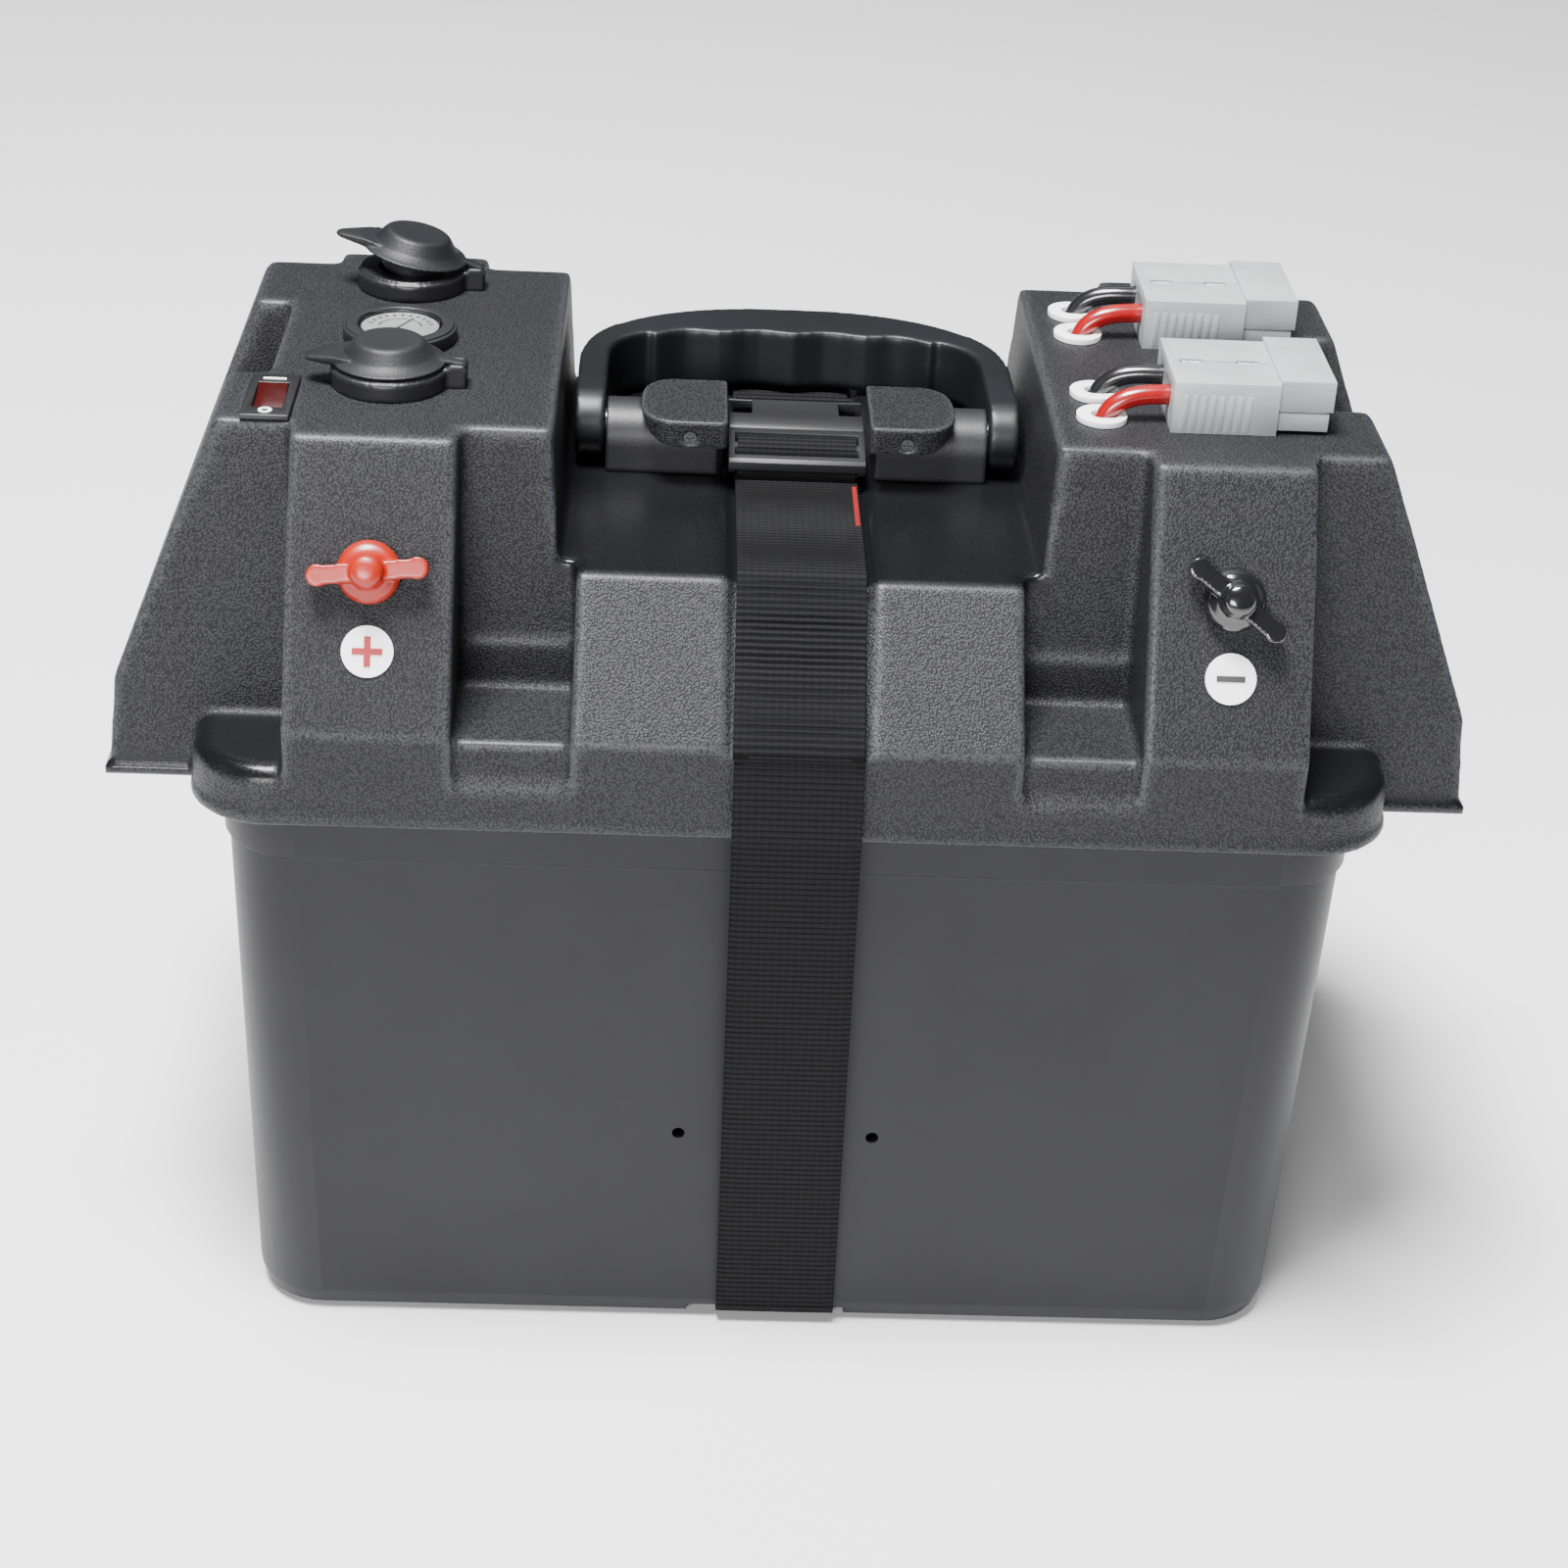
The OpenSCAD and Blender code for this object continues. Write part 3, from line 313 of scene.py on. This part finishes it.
red_dip = gloss_plastic("wing_nut_red_dip", (0.3, 0.009, 0.001), 0.34, 0.1)
black_dip = gloss_plastic("wing_nut_black_dip", (0.008, 0.008, 0.009), 0.16, 0.8)
lead_red = gloss_plastic("lead_red_pvc", (0.24, 0.0015, 0.003), 0.24, 0.6)
lead_black = gloss_plastic("lead_black_pvc", (0.01, 0.01, 0.012), 0.22, 0.6)
rocker_red = gloss_plastic("rocker_red_lens", (0.03, 0.0008, 0.0008), 0.2, 0.7)
connector_grey = nylon("connector_grey_nylon", (0.27, 0.275, 0.285), (0.33, 0.335, 0.345))
print_white = nylon("label_white_vinyl", (0.84, 0.84, 0.85), (0.92, 0.92, 0.93))
grommet_white = nylon("grommet_white_nylon", (0.78, 0.79, 0.8), (0.88, 0.88, 0.88))
sign_red = nylon("sign_red_print", (0.24, 0.004, 0.005), (0.3, 0.005, 0.006))
sign_black = nylon("sign_black_print", (0.02, 0.02, 0.022), (0.035, 0.035, 0.037))
zinc = metal("zinc_plated_steel", (0.62, 0.63, 0.65), 0.3)
screw_dark = metal("blackened_steel", (0.13, 0.13, 0.14), 0.35)
brass = metal("plain_brass", (0.72, 0.55, 0.27), 0.3)
silver = metal("silver_plate", (0.8, 0.8, 0.78), 0.25)
print("finishes:", len(bpy.data.materials))

# %% [markdown]
# ## Softening a moulding
# A CAD solid has edges of no radius, and light never catches them. There are
# two ways to soften one. A small solid with clean flats takes a bevel on its
# sharp edges. A large shell made of many joined blocks has corners where a
# bevel tangles, so it is remeshed into small even faces, which are then
# relaxed: every edge, inner or outer, gets a fillet as wide as a few faces.

# %% Helpers that soften a copy of a solid
def cad_copy(*nodes):
    bm = bmesh.new()
    for node in nodes:
        bm.from_mesh(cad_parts[node].data)
    bmesh.ops.remove_doubles(bm, verts=bm.verts, dist=2e-6)
    return bm

def make_piece(bm, name, body, finish_used, stands_for=(), crease=40):
    for face in bm.faces:
        face.smooth = True
    for edge in bm.edges:
        edge.smooth = not (len(edge.link_faces) == 2 and edge.calc_face_angle(0) > math.radians(crease))
    mesh = bpy.data.meshes.new(name)
    bm.to_mesh(mesh)
    bm.free()
    for mat in finish_used if isinstance(finish_used, (list, tuple)) else [finish_used]:
        mesh.materials.append(mat)
    obj = bpy.data.objects.new(name, mesh)
    bpy.context.scene.collection.objects.link(obj)
    if body:
        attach(obj, body)
    if stands_for:
        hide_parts(*stands_for)
    return obj

BIG_FLAT = 3000 * MM * MM  # a flat larger than this is shaded flat, so its bevels don't tint it

def bevelled(node, name, body, finish_used, width, segments=3, angle=30):
    bm = cad_copy(node)
    bmesh.ops.dissolve_limit(bm, angle_limit=math.radians(0.5), verts=bm.verts, edges=bm.edges)
    sharp = [e for e in bm.edges
             if len(e.link_faces) == 2 and e.calc_face_angle(0) > math.radians(angle)]
    bmesh.ops.bevel(bm, geom=sharp, offset=width * MM, offset_type="OFFSET", affect="EDGES",
                    segments=segments, profile=0.5, material=-1, clamp_overlap=True)
    piece = make_piece(bm, name, body, finish_used, (node,), 30)
    for face in piece.data.polygons:
        if face.area > BIG_FLAT:
            face.use_smooth = False
    print(name, len(piece.data.polygons), "faces")
    return piece

def through_modifiers(bm, add):
    mesh = bpy.data.meshes.new("modifier_source")
    bm.to_mesh(mesh)
    bm.free()
    obj = bpy.data.objects.new("modifier_source", mesh)
    bpy.context.scene.collection.objects.link(obj)
    add(obj.modifiers)
    evaluated = obj.evaluated_get(bpy.context.evaluated_depsgraph_get())
    result = bmesh.new()
    result.from_mesh(evaluated.to_mesh())
    evaluated.to_mesh_clear()
    bpy.data.objects.remove(obj)
    return result

def thinned(bm, keep):
    def add(stack):
        stack.new("thin", "DECIMATE").ratio = keep
    return through_modifiers(bm, add)

def remeshed(bm, voxel, passes, keep=1.0):
    def add(stack):
        grid = stack.new("voxels", "REMESH")
        grid.mode = "VOXEL"
        grid.voxel_size = voxel * MM
        relax = stack.new("relax", "SMOOTH")
        relax.factor, relax.iterations = 0.5, passes
    result = through_modifiers(bm, add)
    return thinned(result, keep) if keep < 1 else result

def relaxed(bm, passes, is_inside):
    """Extra smoothing passes for the vertices that the test picks, for wider fillets."""
    chosen = [v for v in bm.verts if is_inside(v.co / MM)]
    for _ in range(passes):
        bmesh.ops.smooth_vert(bm, verts=chosen, factor=0.5,
                              use_axis_x=True, use_axis_y=True, use_axis_z=True)

# The edge level is the surface's bend at each vertex. The lid's finish makes it a painted highlight (a
# paler colour) and smoother, worn pebbles.
def mark_edges(bm, gain):
    layer = bm.verts.layers.float.new("edge")
    for vert in bm.verts:
        bend = sum(e.calc_face_angle_signed(0) for e in vert.link_edges if len(e.link_faces) == 2)
        vert[layer] = max(0.0, min(1.0, bend * gain))

def mark_polish(bm, polish_at):
    layer = bm.verts.layers.float.new("polish")
    bm.normal_update()
    for vert in bm.verts:
        vert[layer] = polish_at(vert.co / MM, vert.normal)
    for _ in range(4):
        levels = []
        for vert in bm.verts:
            around = sum(e.other_vert(vert)[layer] for e in vert.link_edges)
            levels.append((vert[layer] + around) / (1 + len(vert.link_edges)))
        for vert, level in zip(bm.verts, levels):
            vert[layer] = level

# %% [markdown]
# ## Tub
# The tub is one deep moulding with slightly leaning walls, a thicker band under
# its rim and a groove for the strap. Its form is already smooth, so a small
# bevel on its few sharp edges is enough.

# %% Tub
bevelled("tub", "tub_shell", "tub", tub_finish, 0.8, 2, 35)

# %% [markdown]
# ## Lid
# The lid is the large shell of many blocks, so it goes through the remesh. Its
# middle deck, its corner roofs and its skirt's lip are polished, all else is
# pebbled. The towers' edges are the roundest, so they get the most extra passes.

# %% Lid
def lid_polished(p, normal):
    x, y, z = abs(p.x), abs(p.y), p.z
    deck = z < 257.2 and z > 252 and x < 72 and y < 79.5
    corner = x > 150.5 and 200 < z < 207.6 and y > 83 and normal.z > 0.4
    lip = 187.2 < z < 190.2 and max(x - 178, y - 116.4) > 0
    return 1.0 if deck or lip or corner else 0.0

bm = remeshed(cad_copy("lid"), 1.25, 2)
relaxed(bm, 12, lambda p: p.z > 276)
relaxed(bm, 2, lambda p: 225 < p.z <= 276)
bm = thinned(bm, 0.29)
mark_edges(bm, 1.6)
mark_polish(bm, lid_polished)
lid = make_piece(bm, "lid_shell", "lid", lid_finish, ("lid",), 180)
print("lid:", len(lid.data.polygons), "faces")

# %% [markdown]
# ## Handle
# The handle is a loop with finger waves. Remeshing rounds its whole section.

# %% Handle, blocks and covers
bm = remeshed(cad_copy("handle"), 0.9, 10, 0.7)
handle = make_piece(bm, "handle_loop", "handle", handle_finish, ("handle",), 180)
print("handle:", len(handle.data.polygons), "faces")
for side in ("left", "right"):
    bm = remeshed(cad_copy("mount_cover_" + side), 0.6, 5, 0.7)
    mark_edges(bm, 1.6)
    make_piece(bm, "handle_cover_" + side, "lid", lid_finish,
               ("mount_cover_" + side,), 180)
    bm = remeshed(cad_copy("mount_block_" + side), 0.6, 4, 0.6)
    make_piece(bm, "handle_block_" + side, "lid", block_finish,
               ("mount_block_" + side,), 180)

# %% [markdown]
# ## Webbing
# Webbing is a flat woven ribbon with a rib at each pick of the loom. It can be
# painted as stripes, but ribs that stand out also notch the edge and catch the
# light, so they are shaped. A grid is wrapped along a route with rounded
# corners, its rows are lifted in waves, and Solidify's operator gives it its
# thickness. The grid's own UV map then carries the yarns.

# %% Route and ribbon helpers
ARC_PARTS = 8
HALF_LEG = 0.48  # a corner's arc may take up to this share of the legs beside it

def rounded_route(corners, radius, step=0.5):
    """Points and outward normals along (y, z) corners, in mm, with each corner turned on an arc."""
    points = [Vector(c) for c in corners]
    dense = [points[0]]
    for before, here, after in zip(points, points[1:], points[2:]):
        a, b = (before - here), (after - here)
        turn = a.angle(b)
        reach = min(radius / math.tan(turn / 2), a.length * HALF_LEG, b.length * HALF_LEG)
        start, end = here + a.normalized() * reach, here + b.normalized() * reach
        for i in range(ARC_PARTS + 1):
            t = i / ARC_PARTS
            dense.append(start * (1 - t) ** 2 + here * 2 * t * (1 - t) + end * t * t)
    dense.append(points[-1])
    lengths = [0.0]
    for p, q in zip(dense, dense[1:]):
        lengths.append(lengths[-1] + (q - p).length)
    total, k, route = lengths[-1], 0, []
    count = max(2, round(total / step))
    for i in range(count + 1):
        s = total * i / count
        while k < len(lengths) - 2 and lengths[k + 1] < s:
            k += 1
        span = lengths[k + 1] - lengths[k]
        along = (dense[k + 1] - dense[k]).normalized()
        route.append((dense[k] + (dense[k + 1] - dense[k]) * ((s - lengths[k]) / span if span else 0),
                      Vector((along.y, -along.x)), s))
    return route, total

def ribbon(name, corners, width, thickness, rib, height, skew, radius=4.0):
    route, total = rounded_route(corners, radius)
    rows = len(route) - 1
    bm = bmesh.new()
    bmesh.ops.create_grid(bm, x_segments=8, y_segments=rows, size=0.5, calc_uvs=True)
    uv = bm.loops.layers.uv.verify()
    for face in bm.faces:
        for loop in face.loops:
            u, v = loop.vert.co.x + 0.5, loop.vert.co.y + 0.5
            loop[uv].uv = (u * width * MM, v * total * MM)
    for vert in bm.verts:
        u, row = vert.co.x, round((vert.co.y + 0.5) * rows)
        place, out, s = route[row]
        lift = height * (abs(math.sin(math.pi * s / rib)) - 0.5) * (1 if abs(u) < 0.45 else 0.5)
        edge = 0.12 * (abs(math.sin(math.pi * s / rib)) - 0.5) * (1 if abs(u) > 0.45 else 0)
        x = u * (width + 2 * edge) + skew(place.y)
        at = place + out * (lift + thickness / 2)
        vert.co = Vector((x, at.x, at.y)) * MM
    bmesh.ops.solidify(bm, geom=bm.faces[:], thickness=thickness * MM)
    bmesh.ops.recalc_face_normals(bm, faces=bm.faces[:])
    print(name, round(total), "mm,", len(bm.faces), "faces")
    return bm

def webbing_finish(name, dark, light, red_from=None):
    mat, tree, shader = finish(name, light, 0.85, Specular_IOR_Level=0.12)
    uv = add_node(tree, "ShaderNodeUVMap").outputs["UV"]
    yarn = add_node(tree, "ShaderNodeTexWave", wave_type="BANDS", bands_direction="X",
                    Scale=140, Distortion=1.2, Detail=2)
    pick = add_node(tree, "ShaderNodeTexWave", wave_type="BANDS", bands_direction="Y",
                    Scale=157, Distortion=0.6, Detail=1)
    for wave in (yarn, pick):
        tree.links.new(uv, wave.inputs["Vector"])
    fuzz = grain(tree, 900, 3, 0.6)
    weave = calc(tree, "MULTIPLY", pick.outputs["Fac"], between(tree, yarn.outputs["Fac"], 0.7, 1.0))
    shade = calc(tree, "ADD", calc(tree, "MULTIPLY", weave, 0.6), calc(tree, "MULTIPLY", fuzz, 0.4))
    ramp = tint(tree, shader, shade, dark, light, 0.2, 0.8)
    if red_from:
        place = add_node(tree, "ShaderNodeSeparateXYZ")
        tree.links.new(uv, place.inputs["Vector"])
        inside = 1.0
        for axis, (start, end) in zip("XY", red_from):
            along = place.outputs[axis]
            inside = calc(tree, "MULTIPLY", inside, calc(tree, "GREATER_THAN", along, start))
            inside = calc(tree, "MULTIPLY", inside, calc(tree, "LESS_THAN", along, end))
        mix = add_node(tree, "ShaderNodeMix", data_type="RGBA")
        tree.links.new(inside, mix.inputs[0])
        tree.links.new(ramp.outputs["Color"], mix.inputs[6])
        mix.inputs[7].default_value = (0.16, 0.006, 0.008, 1)
        tree.links.new(mix.outputs[2], shader.inputs["Base Color"])
    tree.links.new(between(tree, fuzz, 0.75, 0.95), shader.inputs["Roughness"])
    relief(tree, shader, weave, 0.0002)
    return mat

strap_finish = webbing_finish("strap_black_webbing", (0.0008, 0.0008, 0.001), (0.009, 0.009, 0.01))
# one red thread shows at the edge of the tail, where it enters the buckle
tail_finish = webbing_finish("tail_black_webbing", (0.0008, 0.0008, 0.001), (0.009, 0.009, 0.01),
                             ((0.0362, 0.0376), (0.0045, 0.034)))

# %% Strap loop and tail
def lean_over(z):
    return 2.9 - z * 2.9 / 254 if z < 254 else 0.0

chan = 254.1  # height of the strap's channel on the deck, in mm
front_run = [(-3.4, chan + 0.8), (-80.4, chan + 0.8), (-117.3, 217.0),
             (-118.8, 189), (-105.1, 7.2), (-100.9, 3.4)]
loop_route = front_run + [(-y, z) for y, z in reversed(front_run)]
loop_route = loop_route[:-1] + [(31, chan + 0.8)]
bm = ribbon("strap_loop_webbing", loop_route, 38, 1.5, 2.0, 0.3, lean_over)
strap = make_piece(bm, "strap_loop_webbing", None, strap_finish, (), 60)
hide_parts("strap_loop")
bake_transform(strap)

tail_route = [(-11.0, chan + 2.9), (-80.2, chan + 2.9), (-117.4, 219.2), (-118.2, 217.4)]
bm = ribbon("strap_tail_webbing", tail_route, 38, 1.6, 2.1, 0.6, lambda z: 0.0)
make_piece(bm, "strap_tail_webbing", "lid", tail_finish, ("strap_tail",), 60)

# %% [markdown]
# ## Buckle
# The buckle is a hard moulding with crisp but not sharp edges: a bevel suits it.

# %% Buckle
bevelled("buckle_housing", "buckle_body", "lid", buckle_finish, 0.8)
bevelled("buckle_plug", "buckle_ladder", "lid", buckle_finish, 0.8)
for side in ("left", "right"):
    bevelled("release_prong_" + side, "buckle_prong_" + side, "release_prong_" + side,
             buckle_finish, 0.4)
ladder_route = [(-9.9, 257.4), (-9.7, 264.5), (-8.3, 267.2), (-4.5, 268.7), (-0.2, 269.2), (0.2, 262)]
bm = ribbon("webbing_in_ladder", ladder_route, 37, 1.5, 2.0, 0.4, lambda z: 0.0, 2.0)
make_piece(bm, "webbing_in_ladder", "lid", strap_finish, (), 60)
behind_route = [(29.8, 262), (30, 267.6), (33, 268.6), (36.8, 266.5), (38.5, 257.5), (46, 256.4)]
bm = ribbon("webbing_behind_buckle", behind_route, 37, 1.5, 2.0, 0.4, lambda z: 0.0, 3.0)
make_piece(bm, "webbing_behind_buckle", "lid", strap_finish, (), 60)

# %% [markdown]
# ## Sockets, caps and gauge
# The caps are soft rubber domes that flow into their tabs, so they are
# remeshed. The bodies are turned parts with a small bevel.

# %% Sockets, caps and gauge
for place in ("front", "rear"):
    bm = remeshed(cad_copy("socket_" + place), 0.5, 3, 0.5)
    make_piece(bm, "socket_body_" + place, "lid", fitting_finish,
               ("socket_" + place,), 180)
    bm = remeshed(cad_copy("cap_" + place), 0.4, 8, 0.6)
    make_piece(bm, "socket_cap_" + place, "cap_" + place, cap_finish,
               ("cap_" + place,), 180)
bevelled("gauge_bezel", "gauge_body", "lid", fitting_finish, 0.7)

# %% Gauge dial and window
def dial_print():
    mat, tree, shader = finish("dial_printed_white", (0.85, 0.85, 0.82), 0.45)
    low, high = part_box("gauge_dial")
    place = add_node(tree, "ShaderNodeTexCoord").outputs["Object"]
    centre = add_node(tree, "ShaderNodeMapping")
    centre.inputs["Location"].default_value = -(low + high) / 2
    tree.links.new(place, centre.inputs["Vector"])
    axes = add_node(tree, "ShaderNodeSeparateXYZ")
    tree.links.new(centre.outputs["Vector"], axes.inputs["Vector"])
    x, y = axes.outputs["X"], axes.outputs["Y"]
    squares = calc(tree, "ADD", calc(tree, "MULTIPLY", x, x), calc(tree, "MULTIPLY", y, y))
    radius = calc(tree, "SQRT", squares)
    angle = calc(tree, "ARCTAN2", y, x)
    spokes = calc(tree, "GREATER_THAN", calc(tree, "COSINE", calc(tree, "MULTIPLY", angle, 24)), 0.35)
    spokes = calc(tree, "MULTIPLY", spokes, calc(tree, "GREATER_THAN", y, 0.0005))
    rim = calc(tree, "MULTIPLY", calc(tree, "GREATER_THAN", radius, 0.0088),
               calc(tree, "LESS_THAN", radius, 0.0103))
    inner = calc(tree, "MULTIPLY", calc(tree, "GREATER_THAN", radius, 0.0062),
                 calc(tree, "LESS_THAN", radius, 0.0068))
    inner = calc(tree, "MULTIPLY", inner, calc(tree, "GREATER_THAN", y, 0.0005))
    beside = calc(tree, "ABSOLUTE", calc(tree, "ADD", x, calc(tree, "MULTIPLY", y, -0.5)))
    reach = calc(tree, "MULTIPLY", calc(tree, "GREATER_THAN", y, -0.002),
                 calc(tree, "LESS_THAN", radius, 0.0082))
    needle = calc(tree, "MULTIPLY", calc(tree, "LESS_THAN", beside, 0.0005), reach)
    ticks = calc(tree, "ADD", calc(tree, "MULTIPLY", spokes, rim), inner)
    ink = calc(tree, "ADD", ticks, needle, clamp=True)
    tint(tree, shader, ink, (0.8, 0.8, 0.77), (0.03, 0.03, 0.03))
    return mat

def clear_window():
    return finish("window_clear_acrylic", (0.98, 0.99, 1.0), 0.04,
                  Transmission_Weight=1.0, IOR=1.3)[0]

# %% [markdown]
# ## Carried-over solids
# What is already right in CAD keeps its mesh and only gets its finish.

# %% Rocker, studs, wing nuts, labels
bevelled("rocker_frame", "rocker_bezel", "lid", fitting_finish, 0.4)
bevelled("rocker_button", "rocker_key", "rocker", rocker_red, 0.35)
for side, dip, slot in (("positive", red_dip, "knob_red"), ("negative", black_dip, "knob_black")):
    bm = remeshed(cad_copy("wing_nut_" + side), 0.4, 9, 0.8)
    make_piece(bm, "wing_grip_" + side, "wing_nut_" + side, dip, ("wing_nut_" + side,), 180)
bevelled("cable_grommets", "grommet_flanges", "lid", grommet_white, 0.35)
for place in ("front", "rear"):
    bevelled("connector_" + place, "connector_housing_" + place, "lid",
             connector_grey, 0.35, 2)

def smooth_lead(node, name, finish_used):
    bm = cad_copy(node)
    bmesh.ops.dissolve_limit(bm, angle_limit=math.radians(1), verts=bm.verts, edges=bm.edges)
    bmesh.ops.join_triangles(bm, faces=[f for f in bm.faces if len(f.verts) == 3],
                             angle_face_threshold=math.radians(30),
                             angle_shape_threshold=math.radians(60))
    def add(stack):
        round_off = stack.new("round_off", "SUBSURF")
        round_off.levels = round_off.render_levels = 2
    return make_piece(through_modifiers(bm, add), name, "lid", finish_used, (node,), 60)

for place in ("front", "rear"):
    smooth_lead("lead_%s_red" % place, "lead_wire_%s_red" % place, lead_red)
    smooth_lead("lead_%s_black" % place, "lead_wire_%s_black" % place, lead_black)

# %% Paint the solids that stay
def paint(finish_used, *nodes):
    for node in nodes:
        mesh_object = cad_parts[node]
        if not mesh_object.material_slots:
            mesh_object.data.materials.append(finish_used)
        for holder in mesh_object.material_slots:
            holder.material = finish_used

paint(screw_dark, "cover_screws")
paint(zinc, "pivot_pins", "socket_front_contact", "socket_rear_contact", "rocker_axle", "connector_pins")
paint(brass, "stud_positive", "stud_negative", "stud_nuts")
paint(silver, "contacts_front", "contacts_rear")
paint(print_white, "label_discs", "rocker_marks")
paint(sign_red, "mark_plus")
paint(sign_black, "mark_minus")
paint(fitting_finish, "socket_nuts")
paint(dial_print(), "gauge_dial")
paint(clear_window(), "gauge_lens")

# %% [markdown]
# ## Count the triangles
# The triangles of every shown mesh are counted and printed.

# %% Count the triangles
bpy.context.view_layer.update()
shown = [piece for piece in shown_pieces() if piece.type == "MESH"]
print("triangles:", sum(len(face.vertices) - 2 for piece in shown for face in piece.data.polygons))
